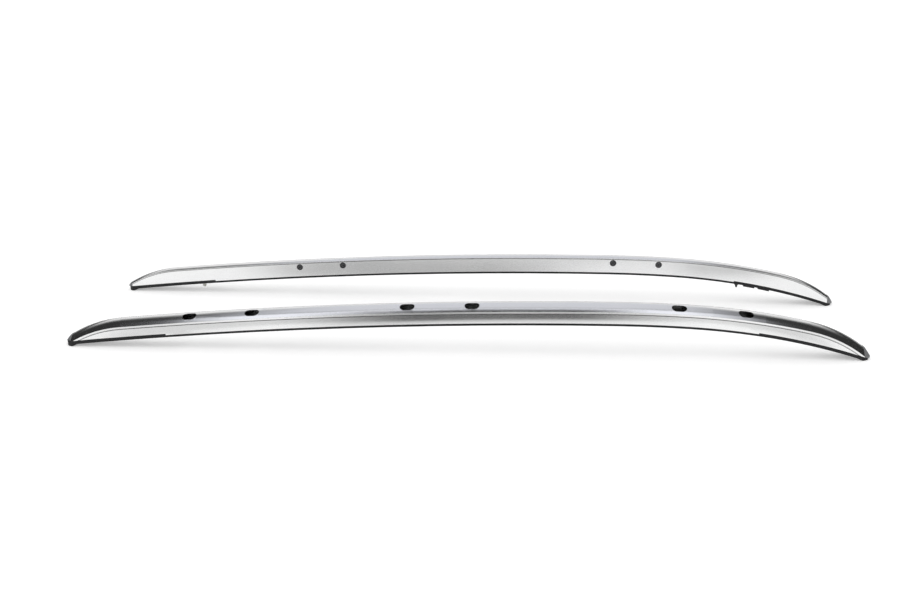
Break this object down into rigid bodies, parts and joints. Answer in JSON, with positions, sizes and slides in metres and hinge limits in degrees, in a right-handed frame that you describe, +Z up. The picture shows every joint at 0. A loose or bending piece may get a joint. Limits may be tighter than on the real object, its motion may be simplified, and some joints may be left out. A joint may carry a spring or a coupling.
{
  "type": "roof side rail pair",
  "caption": "Pair of flush aluminium roof side rails, arched, with obround access holes in the crown, rubber seals and pads, and dark end caps.",
  "frame": {"origin": "on the ground, midway between the two rails and between their tips", "axes": "+X along the rails towards the front, steeper tips; +Y across to the left rail; +Z up"},
  "size_m": [1.7973, 0.44, 0.1155],
  "materials": {
    "anodised_aluminium": "satin anodised",
    "dark_grey_plastic": "fine moulded texture",
    "black_rubber": "matt",
    "cast_aluminium": "as cast",
    "black_plastic": "moulded",
    "natural_nylon": "moulded",
    "zinc_steel": "zinc plated",
    "black_steel": "black oxide"
  },
  "bodies": {
    "root": {"left_base_seal": "black_rubber", "left_centre_foot_spacers": "black_plastic", "left_centre_mounting_foot": "cast_aluminium", "left_front_cap_screw": "zinc_steel", "left_front_crossbar_plate": "zinc_steel", "left_front_crossbar_screws": "black_steel", "left_front_end_cap": "dark_grey_plastic", "left_front_foot_pad": "black_rubber", "left_front_foot_spacers": "black_plastic", "left_front_locating_peg": "black_plastic", "left_front_mounting_foot": "cast_aluminium", "left_rail": "anodised_aluminium", "left_rear_cap_screw": "zinc_steel", "left_rear_crossbar_plate": "zinc_steel", "left_rear_crossbar_screws": "black_steel", "left_rear_end_cap": "dark_grey_plastic", "left_rear_foot_pad": "black_rubber", "left_rear_foot_spacers": "natural_nylon", "left_rear_locating_clip": "natural_nylon", "left_rear_mounting_foot": "cast_aluminium", "right_base_seal": "black_rubber", "right_centre_foot_spacers": "black_plastic", "right_centre_mounting_foot": "cast_aluminium", "right_front_cap_screw": "zinc_steel", "right_front_crossbar_plate": "zinc_steel", "right_front_crossbar_screws": "black_steel", "right_front_end_cap": "dark_grey_plastic", "right_front_foot_pad": "black_rubber", "right_front_foot_spacers": "black_plastic", "right_front_locating_peg": "black_plastic", "right_front_mounting_foot": "cast_aluminium", "right_rail": "anodised_aluminium", "right_rear_cap_screw": "zinc_steel", "right_rear_crossbar_plate": "zinc_steel", "right_rear_crossbar_screws": "black_steel", "right_rear_end_cap": "dark_grey_plastic", "right_rear_foot_pad": "black_rubber", "right_rear_foot_spacers": "natural_nylon", "right_rear_locating_clip": "natural_nylon", "right_rear_mounting_foot": "cast_aluminium"}
  },
  "joints": []
}
